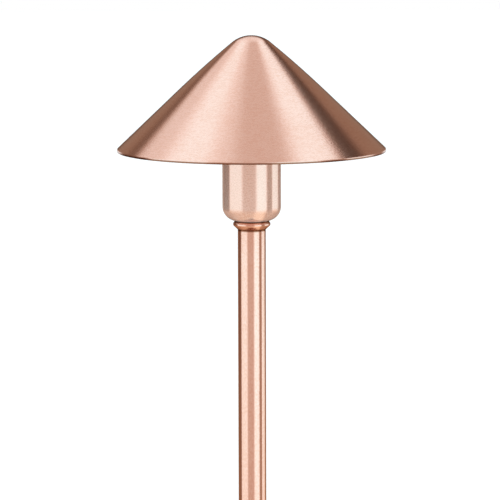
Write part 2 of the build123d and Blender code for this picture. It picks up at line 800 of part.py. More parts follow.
with BuildPart() as cable_grommet:
    with BuildSketch(facing_back(outlet_face)):
        Circle(cable_grommet_flange_diameter / 2)
    extrude(amount=cable_grommet_flange)
    fillet(edges().group_by(Axis.Y)[-1], cable_grommet_flange / 3)
    with BuildSketch(facing_back(outlet_face)):
        Circle(cable_hole_diameter / 2 - slip_gap)
    extrude(amount=chamber_radius + cable_grommet_setback - outlet_face)
    with BuildSketch(facing_back(0)):
        Circle(cable_grommet_bore / 2)
    extrude(amount=outlet_face + cable_grommet_flange, mode=Mode.SUBTRACT)
save(cable_grommet, "cable_grommet")
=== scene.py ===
from math import acos, atan2, cos, degrees, hypot, pi, radians, sin, tan

import bmesh
import bpy
from bpy.props import FloatProperty, FloatVectorProperty, IntProperty, PointerProperty
from mathutils import Matrix, Vector


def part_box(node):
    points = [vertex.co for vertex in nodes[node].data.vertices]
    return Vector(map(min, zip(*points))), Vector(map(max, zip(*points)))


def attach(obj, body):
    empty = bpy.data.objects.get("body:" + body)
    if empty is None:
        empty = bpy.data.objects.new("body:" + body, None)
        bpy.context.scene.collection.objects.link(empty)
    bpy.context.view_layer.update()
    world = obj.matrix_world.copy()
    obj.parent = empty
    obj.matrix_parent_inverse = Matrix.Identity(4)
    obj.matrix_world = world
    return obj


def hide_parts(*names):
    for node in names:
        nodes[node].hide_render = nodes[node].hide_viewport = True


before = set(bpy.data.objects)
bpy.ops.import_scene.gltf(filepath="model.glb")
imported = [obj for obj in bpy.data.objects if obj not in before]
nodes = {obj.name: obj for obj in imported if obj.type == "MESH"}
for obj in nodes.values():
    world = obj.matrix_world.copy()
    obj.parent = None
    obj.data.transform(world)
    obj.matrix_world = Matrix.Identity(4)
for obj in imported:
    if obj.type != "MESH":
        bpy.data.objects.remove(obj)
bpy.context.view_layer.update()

bl_info = {
    "name": "Copper path light",
    "version": (1, 0, 0),
    "blender": (4, 5, 0),
    "location": "View3D > Sidebar > Path Light",
    "description": "Spins the light's copper pieces and gives every piece its finish",
    "category": "Object",
}


# Sizes and colours that a maker would change


def length(name, description, default):
    return FloatProperty(name=name, description=description, default=default,
                         subtype="DISTANCE", unit="LENGTH", precision=5)


def angle(name, description, degrees_default):
    return FloatProperty(name=name, description=description, default=radians(degrees_default),
                         subtype="ANGLE", unit="ROTATION")


def colour(name, description, default):
    return FloatVectorProperty(name=name, description=description, default=default, subtype="COLOR", size=3,
                               min=0.0, max=1.0)


class PathLightHat(bpy.types.PropertyGroup):
    crown: length("Crown radius", "Outer radius of the rounded apex", 0.0229)
    swell: length("Swell radius", "Radius of the slow curve below the crown", 0.747)
    swell_turn: angle("Swell turn", "Angle that the slow curve turns through", 4.1)
    wall: length("Wall", "Thickness of the spun sheet", 0.001)
    bend: length("Rim bend", "Inside radius of the bend at the rim", 0.001)
    lip: length("Lip", "Upright edge under the bend", 0.0008)
    facets: IntProperty(name="Facets", description="Faces round the hat", default=256, min=64)


class PathLightCup(bpy.types.PropertyGroup):
    wall: length("Wall", "Thickness of the cup's wall", 0.0012)
    corner: length("Corner", "Outer radius of the bottom edge", 0.011)
    edge: length("Edge", "Rounding of the top edge", 0.0004)
    nipple_hole: length("Nipple hole", "Radius of the hole in the floor", 0.00505)
    insert_hole: length("Insert holes", "Radius of the two holes for the threaded inserts", 0.00332)
    facets: IntProperty(name="Facets", description="Faces round the cup", default=160, min=48)
    hole_facets: IntProperty(name="Hole facets", description="Faces round each insert hole",
                             default=48, min=16)


class PathLightNeck(bpy.types.PropertyGroup):
    collar_land: length("Collar foot", "Width of the collar's lower edge", 0.0002)
    collar_nose: length("Collar nose", "Reach of the nose past the stem, before rounding", 0.0041)
    collar_nose_height: length("Nose height", "Height of the nose above the collar's foot", 0.00355)
    collar_nose_round: length("Nose round", "Radius of the nose", 0.0018)
    collar_top: length("Collar top", "Reach of the top edge past the stem", 0.00225)
    collar_bore: length("Collar bore", "Radius of the collar's bore", 0.01067)
    stem_wall: length("Stem wall", "Thickness of the tube", 0.002)
    stem_edge: length("Stem edge", "Chamfer at the tube's foot", 0.0008)
    thread_length: length("Thread length", "Threaded length at the tube's foot", 0.024)
    thread_pitch: length("Thread pitch", "Distance from groove to groove", 0.001814)
    thread_depth: length("Thread depth", "Depth of each groove", 0.00075)
    facets: IntProperty(name="Facets", description="Faces round the stem and the collar", default=128, min=48)


class PathLightLamp(bpy.types.PropertyGroup):
    wire: length("Filament wire", "Radius of the tungsten wire", 0.00006)
    turns: IntProperty(name="Filament turns", description="Turns of the coil", default=13, min=3)
    wire_sides: IntProperty(name="Wire sides", description="Faces round the wire", default=8, min=3)
    turn_steps: IntProperty(name="Turn steps", description="Steps along one turn of the coil",
                            default=14, min=6)
    wound_share: FloatProperty(name="Wound share", description="Share of the filament's length that is wound",
                               default=0.93, subtype="FACTOR", min=0.1, max=1.0)


class PathLightFinish(bpy.types.PropertyGroup):
    copper: colour("Copper", "Clean copper", (0.95, 0.60, 0.49))
    worn_copper: colour("Handled copper", "Copper where it has begun to darken", (0.86, 0.47, 0.35))
    bloom: colour("Bloom", "Pale haze on handled copper", (1.0, 0.82, 0.71))
    # Painted shade on the hat's lower edge, under the cup and at the stem's top; darker copper at the
    # collar's foot.
    shade_and_tarnish: colour("Tarnish", "Dark copper in joints and on the cut edge", (0.22, 0.07, 0.025))
    edge_on: colour("Edge on", "Tint of polished copper seen edge on", (0.36, 0.27, 0.22))
    brass: colour("Brass", "Turned brass", (0.83, 0.66, 0.36))
    steel: colour("Steel", "Stainless steel", (0.62, 0.61, 0.60))
    stake: colour("Stake plastic", "Moulded plastic of the ground stake", (0.018, 0.020, 0.018))


class PathLightStudio(bpy.types.PropertyGroup):
    distance: length("Camera distance", "Camera to the middle of the hat's rim", 2.4)
    rise: angle("Camera rise", "Camera's height angle over the rim", 5.75)
    pitch: angle("Camera pitch", "Angle that the camera looks down", 7.558)
    roll: angle("Camera roll", "Lean of the camera", 0.16)
    yaw: angle("Camera yaw", "Turn of the camera to its left", 0.012)
    lens: FloatProperty(name="Lens", description="Focal length", default=228.8, unit="CAMERA", min=1.0)
    floor: colour("Floor", "Pale studio floor", (0.90, 0.90, 0.90))
    lamp_power: FloatProperty(name="Lamp", description="Power of the overhead soft light", default=26.0,
                              unit="POWER", min=0.0)
    softbox: length("Soft light size", "Diameter of the overhead soft light", 1.8)
    floor_radius: length("Floor radius", "Radius of the studio floor", 14.0)


# Shader nodes


class Wire:
    """A node's output, with arithmetic that adds Math nodes."""

    def __init__(self, sheet, socket):
        self.sheet = sheet
        self.socket = socket

    def __add__(self, other):
        return self.sheet.math("ADD", self, other)

    def __sub__(self, other):
        return self.sheet.math("SUBTRACT", self, other)

    def __rsub__(self, other):
        return self.sheet.math("SUBTRACT", other, self)

    def __mul__(self, other):
        return self.sheet.math("MULTIPLY", self, other)

    def __truediv__(self, other):
        return self.sheet.math("DIVIDE", self, other)

    def __rtruediv__(self, other):
        return self.sheet.math("DIVIDE", other, self)

    def __pow__(self, other):
        return self.sheet.math("POWER", self, other)

    def __rpow__(self, other):
        return self.sheet.math("POWER", other, self)

    __radd__ = __add__
    __rmul__ = __mul__


class Sheet:
    """The node tree of one finish, or of the studio."""

    def __init__(self, tree):
        self.tree = tree
        tree.nodes.clear()

    def add(self, kind, settings=None, sockets=None, output=0):
        """Add a node: its settings first, then its sockets' values or wires."""
        node = self.tree.nodes.new(kind)
        for key, value in (settings or {}).items():
            if key == "stops":
                ramp = node.color_ramp
                while len(ramp.elements) < len(value):
                    ramp.elements.new(0.5)
                for element, (place, shade) in zip(ramp.elements, value):
                    element.position = place
                    element.color = (*shade, 1)
            else:
                setattr(node, key, value)
        for key, value in (sockets or {}).items():
            if isinstance(key, int):
                socket = node.inputs[key]
            else:
                socket = next(item for item in node.inputs if item.name == key and item.enabled)
            if isinstance(value, Wire):
                self.tree.links.new(value.socket, socket)
            elif hasattr(value, "__len__") and len(socket.default_value) == 4:
                socket.default_value = (*value, 1)
            else:
                socket.default_value = value
        shown = [item for item in node.outputs if item.enabled and output in (0, item.name)]
        return Wire(self, shown[0]) if shown else None

    def math(self, operation, *values):
        return self.add("ShaderNodeMath", {"operation": operation}, dict(enumerate(values)))

    def ramp(self, factor, stops):
        """Colour a number by a ramp whose stops are in order."""
        return self.add("ShaderNodeValToRGB", {"stops": stops}, {"Fac": factor})

    def step(self, value, start, end):
        """Rise smoothly from 0 at start to 1 at end."""
        return self.add("ShaderNodeMapRange", {"interpolation_type": "SMOOTHSTEP"},
                        {"Value": value, "From Min": start, "From Max": end})

    def fade(self, height, end, stretch):
        """Rise from 0 to 1 over a stretch, whose two heights are counted from an end of the piece."""
        return self.step(height, end + stretch[0], end + stretch[1])

    def blend(self, factor, first, second):
        """Mix two colours."""
        return self.add("ShaderNodeMix", {"data_type": "RGBA"}, {"Factor": factor, "A": first, "B": second},
                        output="Result")

    def between(self, factor, first, second):
        """Mix two numbers."""
        return factor * (second - first) + first

    def place(self):
        """Where a point is on the piece, as x, y and z."""
        here = self.add("ShaderNodeTexCoord", output="Object")
        split = self.add("ShaderNodeSeparateXYZ", sockets={0: here}).socket.node
        return tuple(Wire(self, socket) for socket in split.outputs)

    def point(self, x, y, z):
        return self.add("ShaderNodeCombineXYZ", sockets={0: x, 1: y, 2: z})

    def grain(self, place, scale, detail=2.0, roughness=0.5):
        return self.add("ShaderNodeTexNoise", {}, {"Vector": place, "Scale": scale, "Detail": detail,
                                                   "Roughness": roughness})

    def bump(self, height, strength, distance):
        return self.add("ShaderNodeBump", {}, {"Height": height, "Strength": strength, "Distance": distance})

    def shader(self, **sockets):
        named = {key.replace("_", " "): value for key, value in sockets.items()}
        return self.add("ShaderNodeBsdfPrincipled", {}, named)

    def surface(self, **sockets):
        self.finish(self.shader(**sockets))

    def finish(self, shader):
        self.add("ShaderNodeOutputMaterial", {}, {"Surface": shader})


def new_finish(name):
    """Make a material and the sheet that its nodes go on."""
    made = bpy.data.materials.new(name)
    made.use_nodes = True
    return made, Sheet(made.node_tree)


# Finishes

# Where painted shade, darkening and warmth fade in, from none to full, in metres up from the named end of a
# piece.
RIM_SHADE_FADE = (0.0015, 0.0008)  # hat's lower edge
STEM_WARMTH_FADE = (-0.030, -0.006)  # stem's top
STEM_SHADE_FADE = (-0.0072, -0.0058)  # stem's top
COLLAR_TOP_FADE = (-0.0013, -0.0005)  # collar's top
COLLAR_FOOT_FADE = (0.0012, 0.0004)  # collar's foot
# The same, inward across the cup's underside, in shares of its radius.
CUP_SHADE_FADE = (0.70, 0.58)


def ring_distance(x, y):
    """Distance of a point from the light's axis."""
    return (x * x + y * y) ** 0.5


def brushed_copper(finish, edge):
    """Satin copper, brushed round the hat with short fine scratches, with painted shade along its lower edge.
    """
    made, sheet = new_finish("brushed_copper")
    x, y, z = sheet.place()
    down_flank = z - ring_distance(x, y)
    fine = sheet.grain(sheet.point(x * 500, y * 500, down_flank * 850), scale=1.0, roughness=0.6)
    coarse = sheet.grain(sheet.point(x * 130, y * 130, down_flank * 520), scale=1.0)
    cloud = sheet.grain(sheet.point(x, y, z), scale=30.0, detail=3.0, roughness=0.55)
    wear = sheet.step(fine * 0.55 + coarse * 0.25 + cloud * 0.2, 0.42, 0.60)
    tint = sheet.blend(wear * 0.55, tuple(finish.copper), tuple(finish.worn_copper))
    # Painted shade along the hat's lower edge.
    cut = sheet.fade(z, edge, RIM_SHADE_FADE)
    sheet.surface(
        Base_Color=sheet.blend(cut * 0.9, tint, tuple(finish.shade_and_tarnish)), Metallic=1.0,
        Roughness=sheet.between(fine, 0.16, 0.26), Anisotropic=0.7, Anisotropic_Rotation=0.25,
        Normal=sheet.bump(fine * 0.75 + coarse * 0.25, strength=0.32, distance=0.0002),
    )
    return made


def spun_copper(finish, name, haze, speckle, worn, joint):
    """Polished copper under a thin pale bloom, with faint turning lines, darkened where the joint mask says:
    painted shade next to the cup, and darker copper at the collar's foot.
    """
    made, sheet = new_finish(name)
    x, y, z = sheet.place()
    lines = sheet.grain(sheet.point(x * 14, y * 14, z * 900), scale=1.0, roughness=0.6)
    specks = sheet.grain(sheet.point(x, y, z), scale=900.0, roughness=0.55)
    cloud = sheet.grain(sheet.point(x, y, z), scale=45.0)
    wear = sheet.step(cloud * 0.55 + lines * 0.45, 0.38, 0.64)
    tint = sheet.blend(sheet.between(wear, *worn), tuple(finish.copper), tuple(finish.worn_copper))
    tint = sheet.blend(joint(sheet, x, y, z), tint, tuple(finish.shade_and_tarnish))
    relief = sheet.bump(specks * 0.8 + lines * 0.2, strength=0.04, distance=0.0003)
    polished = sheet.shader(Base_Color=tint, Metallic=1.0, Roughness=0.10 + specks * 0.05,
                            Specular_Tint=tuple(finish.edge_on), Normal=relief)
    spread = sheet.step(specks * 0.8 + cloud * 0.2, 0.40, 0.60) * speckle + haze
    pale = sheet.shader(Base_Color=tuple(finish.bloom), Roughness=0.5, Normal=relief)
    sheet.finish(sheet.add("ShaderNodeMixShader", {}, {0: spread, 1: polished, 2: pale}))
    return made


def drawn_copper(finish, top):
    """Drawn tube: faint lines along it, mottled patches, a warmer tone up to the collar, and painted shade
    where it enters the collar.
    """
    made, sheet = new_finish("drawn_copper")
    x, y, z = sheet.place()
    along = sheet.grain(sheet.point(x * 900, y * 900, z * 16), scale=1.0, roughness=0.6)
    mottle = sheet.grain(sheet.point(x, y, z * 0.7), scale=800.0, detail=3.0, roughness=0.6)
    cloud = sheet.grain(sheet.point(x, y, z * 0.4), scale=60.0)
    wear = sheet.step(mottle * 0.65 + cloud * 0.25 + along * 0.10, 0.40, 0.62)
    warm = sheet.fade(z, top, STEM_WARMTH_FADE)
    tint = sheet.blend(wear * 0.55 + warm * 0.35, tuple(finish.copper), tuple(finish.worn_copper))
    sheet.surface(
        # Painted shade at the stem's top, where it enters the collar.
        Base_Color=sheet.blend(sheet.fade(z, top, STEM_SHADE_FADE), tint, tuple(finish.shade_and_tarnish)),
        Metallic=1.0, Roughness=0.08 + mottle * 0.12, Specular_Tint=tuple(finish.edge_on),
        Normal=sheet.bump(mottle * 0.8 + along * 0.2, strength=0.13, distance=0.0002),
    )
    return made


def turned_metal(name, clean, dull, rough, axis):
    """Turned metal: fine tool rings across the axis of the piece, with a few dull patches."""
    made, sheet = new_finish(name)
    x, y, z = sheet.place()
    squeeze = {"X": (1300, 60, 60), "Z": (60, 60, 1300)}[axis]
    rings = sheet.grain(sheet.point(x * squeeze[0], y * squeeze[1], z * squeeze[2]), scale=1.0, roughness=0.6)
    cloud = sheet.grain(sheet.point(x, y, z), scale=160.0, detail=3.0, roughness=0.55)
    wear = sheet.step(cloud * 0.6 + rings * 0.4, 0.38, 0.66)
    sheet.surface(
        Base_Color=sheet.blend(wear * 0.6, clean, dull), Metallic=1.0, Roughness=rough + rings * 0.14,
        Normal=sheet.bump(rings, strength=0.1, distance=0.0002),
    )
    return made


def zinc_plate():
    """Bright zinc on the socket's bracket, with a faint blue and yellow cast."""
    made, sheet = new_finish("zinc_plate")
    x, y, z = sheet.place()
    spangle = sheet.add("ShaderNodeTexVoronoi", {"feature": "F1"},
                        {"Vector": sheet.point(x, y, z), "Scale": 700.0}, output="Color")
    patch = sheet.add("ShaderNodeSeparateColor", sockets={0: spangle})
    cloud = sheet.grain(sheet.point(x, y, z), scale=90.0)
    sheet.surface(
        Base_Color=sheet.blend(sheet.step(cloud, 0.4, 0.6), (0.66, 0.68, 0.70), (0.72, 0.69, 0.60)),
        Metallic=1.0, Roughness=0.24 + patch * 0.12,
        Normal=sheet.bump(cloud, strength=0.08, distance=0.0002),
    )
    return made


def contact_nickel():
    """Nickel on the socket's contacts, with faint rolling lines."""
    made, sheet = new_finish("contact_nickel")
    x, y, z = sheet.place()
    roll = sheet.grain(sheet.point(x * 1500, y * 300, z * 90), scale=1.0)
    sheet.surface(
        Base_Color=sheet.blend(roll, (0.70, 0.68, 0.63), (0.60, 0.57, 0.51)), Metallic=1.0,
        Roughness=0.16 + roll * 0.12, Normal=sheet.bump(roll, strength=0.05, distance=0.0001),
    )
    return made


def lamp_wire(name, clean, dull, rough):
    """Drawn wire in the lamp, dulled by heat."""
    made, sheet = new_finish(name)
    x, y, z = sheet.place()
    heat = sheet.grain(sheet.point(x, y, z), scale=1500.0)
    sheet.surface(Base_Color=sheet.blend(heat, clean, dull), Metallic=1.0, Roughness=rough + heat * 0.15)
    return made


def clear_lamp_glass():
    """Clear blown glass, very slightly uneven."""
    made, sheet = new_finish("clear_lamp_glass")
    x, y, z = sheet.place()
    blown = sheet.grain(sheet.point(x, y, z * 0.5), scale=140.0)
    sheet.surface(
        Base_Color=sheet.blend(blown, (0.97, 0.98, 0.98), (0.93, 0.95, 0.95)),
        Roughness=0.02 + blown * 0.03, Transmission_Weight=1.0, IOR=1.47,
        Normal=sheet.bump(blown, strength=0.04, distance=0.0004),
    )
    return made


def moulded(name, clean, dull, rough, grain_scale, texture, spread=0.14):
    """A moulded or pressed material: fine surface grain over slow changes of colour."""
    made, sheet = new_finish(name)
    x, y, z = sheet.place()
    here = sheet.point(x, y, z)
    grain = sheet.grain(here, scale=grain_scale, detail=3.0, roughness=0.6)
    cloud = sheet.grain(here, scale=grain_scale / 14)
    sheet.surface(
        Base_Color=sheet.blend(sheet.step(cloud * 0.6 + grain * 0.4, 0.36, 0.64), clean, dull),
        Roughness=rough + grain * spread, Normal=sheet.bump(grain, strength=texture, distance=0.0003),
    )
    return made


# Turned pieces

SHARP_ANGLE = radians(32)  # edges that turn by more than this stay sharp
WELD = 2e-7  # points nearer to each other than this become one
SLIVER = 1e-6  # edges shorter than this are dissolved after a cut


class Profile:
    """Half profile of a turned piece, a wire in the plane y = 0."""

    def __init__(self, x, z):
        self.mesh = bmesh.new()
        self.tip = bmesh.ops.create_vert(self.mesh, co=(x, 0, z))["vert"][0]
        self.first = self.tip

    def line(self, x, z):
        """Run straight to a point."""
        self.tip = bmesh.ops.extrude_vert_indiv(self.mesh, verts=[self.tip])["verts"][0]
        bmesh.ops.translate(self.mesh, verts=[self.tip], vec=Vector((x, 0, z)) - self.tip.co)

    def arc(self, x, z, turn, steps):
        """Swing the tip about a centre. A turn is positive from up to right."""
        swung = bmesh.ops.spin(self.mesh, geom=[self.tip], cent=(x, 0, z), axis=(0, 1, 0), dvec=(0, 0, 0),
                               angle=turn, steps=steps, use_duplicate=False)
        self.tip = next(item for item in swung["geom_last"] if isinstance(item, bmesh.types.BMVert))

    def corner(self, x, z, radius, onward, steps):
        """Run towards a corner and round it, on the way to the point onward."""
        corner = Vector((x, z))
        start = Vector((self.tip.co.x, self.tip.co.z))
        before = (corner - start).normalized()
        after = (Vector(onward) - corner).normalized()
        left_turn = atan2(before.x * after.y - before.y * after.x, before.dot(after))
        begin = corner - before * radius * tan(abs(left_turn) / 2)
        side = radius if left_turn > 0 else -radius
        centre = begin + Vector((-before.y, before.x)) * side
        self.line(*begin)
        self.arc(*centre, -left_turn, steps)

    def close(self):
        """Join the tip to the first point."""
        bmesh.ops.contextual_create(self.mesh, geom=[self.tip, self.first])

    def turn(self, facets):
        """Turn the profile round the light's axis."""
        mesh = self.mesh
        bmesh.ops.spin(mesh, geom=mesh.verts[:] + mesh.edges[:], cent=(0, 0, 0), axis=(0, 0, 1),
                       dvec=(0, 0, 0), angle=2 * pi, steps=facets, use_merge=True, use_duplicate=False)
        bmesh.ops.remove_doubles(mesh, verts=mesh.verts, dist=WELD)
        bmesh.ops.recalc_face_normals(mesh, faces=mesh.faces)
        return mesh


def new_piece(name, mesh, finish, node, body):
    """Put a piece in the scene in place of its CAD node."""
    data = bpy.data.meshes.new(name)
    mesh.to_mesh(data)
    mesh.free()
    data.shade_smooth()
    data.set_sharp_from_angle(angle=SHARP_ANGLE)
    data.materials.append(finish)
    piece = bpy.data.objects.new(name, data)
    bpy.context.scene.collection.objects.link(piece)
    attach(piece, body)
    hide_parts(node)
    return piece


def give(finish, *names):
    """Give CAD nodes their finish."""
    for name in names:
        for place in nodes[name].material_slots:
            place.material = finish


class PATHLIGHT_OT_hat(bpy.types.Operator):
    """Spin the conical hat, with its rounded crown and turned rim"""

    bl_idname = "pathlight.hat"
    bl_label = "Spin the hat"

    def execute(self, context):
        hat = context.scene.path_light_hat
        low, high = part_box("hat")
        bend = hat.bend + hat.wall
        crown_z = high.z - hat.crown
        rim_z = low.z + hat.lip
        bend_x = high.x - bend
        swing = hat.swell - hat.crown
        meeting = swing * cos(hat.swell_turn) - (hat.swell - bend)
        flank = acos(meeting / hypot(crown_z - rim_z, bend_x)) - atan2(bend_x, crown_z - rim_z)
        crown_turn = flank - hat.swell_turn
        swell_x = -swing * sin(crown_turn)
        swell_z = crown_z - swing * cos(crown_turn)
        inner_swell = hat.swell - hat.wall
        profile = Profile(0, high.z)
        profile.arc(0, crown_z, crown_turn, steps=18)
        profile.arc(swell_x, swell_z, hat.swell_turn, steps=8)
        profile.line(bend_x + bend * sin(flank), rim_z + bend * cos(flank))
        profile.arc(bend_x, rim_z, pi / 2 - flank, steps=8)
        profile.line(high.x, low.z)
        profile.line(high.x - hat.wall, low.z)
        profile.line(high.x - hat.wall, rim_z)
        profile.arc(bend_x, rim_z, flank - pi / 2, steps=6)
        profile.line(swell_x + inner_swell * sin(flank), swell_z + inner_swell * cos(flank))
        profile.arc(swell_x, swell_z, -hat.swell_turn, steps=6)
        profile.arc(0, crown_z, -crown_turn, steps=12)
        made = brushed_copper(context.scene.path_light_finish, low.z)
        new_piece("spun_hat", profile.turn(hat.facets), made, "hat", "hat_unit")
        return {"FINISHED"}


class PATHLIGHT_OT_cup(bpy.types.Operator):
    """Spin the lamp cup and cut the holes for the thumb screws' inserts"""

    bl_idname = "pathlight.cup"
    bl_label = "Spin the lamp cup"

    def execute(self, context):
        cup = context.scene.path_light_cup
        low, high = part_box("lamp_cup")
        screw_low, screw_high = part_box("thumb_washer_right")
        screw_z = (screw_low.z + screw_high.z) / 2
        inside = high.x - cup.wall
        floor = low.z + cup.wall
        # A ring of edges above and below the insert holes keeps the cut's faces small.
        band = cup.insert_hole * 1.3
        profile = Profile(cup.nipple_hole, low.z)
        profile.corner(high.x, low.z, cup.corner, (high.x, high.z), steps=16)
        profile.line(high.x, screw_z - band)
        profile.line(high.x, screw_z + band)
        profile.corner(high.x, high.z, cup.edge, (inside, high.z), steps=5)
        profile.corner(inside, high.z, cup.edge, (inside, low.z), steps=5)
        profile.line(inside, screw_z + band)
        profile.line(inside, screw_z - band)
        profile.corner(inside, floor, cup.corner - cup.wall, (0, floor), steps=12)
        profile.line(cup.nipple_hole, floor)
        profile.close()

        def shade_under_cup(sheet, x, y, z):
            """Painted shade on the cup's underside, round the collar."""
            inward = sheet.step(ring_distance(x, y), *(high.x * share for share in CUP_SHADE_FADE))
            return inward * sheet.step(z, low.z + cup.wall, low.z)

        made = spun_copper(context.scene.path_light_finish, "polished_copper", haze=0.24, speckle=0.10,
                           worn=(0.0, 0.15), joint=shade_under_cup)
        piece = new_piece("polished_cup", profile.turn(cup.facets), made, "lamp_cup", "stand")
        spun_faces = len(piece.data.polygons)
        drill = bmesh.new()
        bmesh.ops.create_cone(drill, cap_ends=True, segments=cup.hole_facets, radius1=cup.insert_hole,
                              radius2=cup.insert_hole, depth=3 * high.x)
        half_facet = Matrix.Rotation(pi / cup.hole_facets, 3, "Z")
        bmesh.ops.rotate(drill, verts=drill.verts, cent=(0, 0, 0),
                         matrix=Matrix.Rotation(pi / 2, 3, "Y") @ half_facet)
        bmesh.ops.translate(drill, verts=drill.verts, vec=(0, 0, screw_z))
        data = bpy.data.meshes.new("drill")
        drill.to_mesh(data)
        drill.free()
        tool = bpy.data.objects.new("drill", data)
        context.scene.collection.objects.link(tool)
        cut = piece.modifiers.new("insert_holes", "BOOLEAN")
        cut.object = tool
        cut.operation = "DIFFERENCE"
        cut.solver = "EXACT"
        drilled = bpy.data.meshes.new_from_object(piece.evaluated_get(context.evaluated_depsgraph_get()))
        piece.modifiers.clear()
        piece.data = drilled
        bpy.data.objects.remove(tool)
        if len(drilled.polygons) < spun_faces / 2:
            raise RuntimeError("the cup was lost as its holes were cut")
        mesh = bmesh.new()
        mesh.from_mesh(drilled)
        bmesh.ops.dissolve_degenerate(mesh, dist=SLIVER, edges=mesh.edges)
        mesh.to_mesh(drilled)
        mesh.free()
        drilled.shade_smooth()
        drilled.set_sharp_from_angle(angle=SHARP_ANGLE)
        return {"FINISHED"}


class PATHLIGHT_OT_collar(bpy.types.Operator):
    """Turn the ring between the cup and the stem"""

    bl_idname = "pathlight.collar"
    bl_label = "Turn the collar"

    def execute(self, context):
        neck = context.scene.path_light_neck
        low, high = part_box("neck_collar")
        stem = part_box("stem")[1].x
        bore = neck.collar_bore
        profile = Profile(bore, low.z)
        profile.line(bore + neck.collar_land, low.z)
        profile.corner(stem + neck.collar_nose, low.z + neck.collar_nose_height, neck.collar_nose_round,
                       (stem + neck.collar_top, high.z), steps=14)
        profile.line(stem + neck.collar_top, high.z)
        profile.line(bore, high.z)
        profile.close()

        def both_ends(sheet, x, y, z):
            """Painted shade at the top, under the cup, and darker copper where the collar meets the stem."""
            # Painted shade under the cup.
            top = sheet.fade(z, high.z, COLLAR_TOP_FADE) * 0.85
            foot = sheet.fade(z, low.z, COLLAR_FOOT_FADE)
            return top + foot * 0.6

        made = spun_copper(context.scene.path_light_finish, "turned_copper", haze=0.0, speckle=0.03,
                           worn=(0.3, 0.9), joint=both_ends)
        new_piece("turned_collar", profile.turn(neck.facets), made, "neck_collar", "stand")
        return {"FINISHED"}


class PATHLIGHT_OT_stem(bpy.types.Operator):
    """Draw the tube stem, with the thread at its foot"""

    bl_idname = "pathlight.stem"
    bl_label = "Draw the stem"

    def execute(self, context):
        neck = context.scene.path_light_neck
        low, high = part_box("stem")
        outside = high.x
        inside = outside - neck.stem_wall
        thread_start = low.z + neck.stem_edge
        count = int((low.z + neck.thread_length - thread_start) / neck.thread_pitch)
        profile = Profile(outside - neck.stem_edge, low.z)
        profile.line(outside, thread_start)
        for groove in range(count):
            middle = thread_start + neck.thread_pitch * (groove + 0.5)
            profile.line(outside, middle - neck.thread_depth)
            profile.line(outside - neck.thread_depth, middle)
            profile.line(outside, middle + neck.thread_depth)
        profile.line(outside, high.z)
        profile.line(inside, high.z)
        profile.line(inside, low.z)
        profile.close()
        made = drawn_copper(context.scene.path_light_finish, high.z)
        new_piece("drawn_stem", profile.turn(neck.facets), made, "stem", "stand")
        return {"FINISHED"}


class PATHLIGHT_OT_lamp(bpy.types.Operator):
    """Wind the filament and finish the lamp's glass and wires"""

    bl_idname = "pathlight.lamp"
    bl_label = "Make the lamp"

    def execute(self, context):
        lamp = context.scene.path_light_lamp
        low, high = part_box("lamp_filament")
        middle = (low.z + high.z) / 2
        coil = (high.z - low.z) / 2 - lamp.wire
        reach = high.x * lamp.wound_share
        steps = lamp.turn_steps * lamp.turns
        mesh = bmesh.new()
        bmesh.ops.create_circle(mesh, segments=lamp.wire_sides, radius=lamp.wire)
        bmesh.ops.rotate(mesh, verts=mesh.verts, cent=(0, 0, 0), matrix=Matrix.Rotation(pi / 2, 3, "Y"))
        bmesh.ops.translate(mesh, verts=mesh.verts, vec=(-high.x, 0, middle + coil))
        start = bmesh.ops.extrude_edge_only(mesh, edges=mesh.edges[:])["geom"]
        ring = [item for item in start if isinstance(item, bmesh.types.BMVert)]
        bmesh.ops.translate(mesh, verts=ring, vec=(high.x - reach, 0, 0))
        rim = [edge for edge in mesh.edges if all(vert in ring for vert in edge.verts)]
        wound = bmesh.ops.spin(mesh, geom=ring + rim, cent=(0, 0, middle), axis=(1, 0, 0),
                               dvec=(2 * reach / steps, 0, 0), angle=2 * pi * lamp.turns, steps=steps,
                               use_duplicate=False)["geom_last"]
        last = bmesh.ops.extrude_edge_only(
            mesh, edges=[item for item in wound if isinstance(item, bmesh.types.BMEdge)])["geom"]
        bmesh.ops.translate(mesh, verts=[item for item in last if isinstance(item, bmesh.types.BMVert)],
                            vec=(high.x - reach, 0, 0))
        bmesh.ops.holes_fill(mesh, edges=mesh.edges)
        bmesh.ops.recalc_face_normals(mesh, faces=mesh.faces)
        tungsten = lamp_wire("tungsten_wire", (0.24, 0.24, 0.25), (0.15, 0.15, 0.16), rough=0.42)
        new_piece("filament_coil", mesh, tungsten, "lamp_filament", "bulb")
        give(clear_lamp_glass(), "lamp_glass")
        lead_in = lamp_wire("lead_in_wire", (0.66, 0.62, 0.56), (0.52, 0.46, 0.40), rough=0.24)
        give(lead_in, "lamp_leads")
        return {"FINISHED"}


class PATHLIGHT_OT_fittings(bpy.types.Operator):
    """Finish the brass and steel fittings"""

    bl_idname = "pathlight.fittings"
    bl_label = "Finish the fittings"

    def execute(self, context):
        finish = context.scene.path_light_finish
        brass = tuple(finish.brass)
        dull_brass = tuple(part * 0.72 for part in brass)
        steel = tuple(finish.steel)
        dull_steel = tuple(part * 0.76 for part in steel)
        give(turned_metal("turned_brass", brass, dull_brass, rough=0.20, axis="Z"),
             "hat_boss", "hat_yoke", "cup_inserts", "stem_insert", "neck_nipple", "cup_lock_nut")
        give(turned_metal("fluted_brass", brass, dull_brass, rough=0.18, axis="X"),
             "thumb_screw_left", "thumb_screw_right")
        give(turned_metal("stainless_steel", steel, dull_steel, rough=0.22, axis="Z"),
             "hat_screw", "hat_lock_washer", "thumb_washer_left", "thumb_washer_right", "floor_washer",
             "cup_lock_washer", "socket_screws")
        return {"FINISHED"}


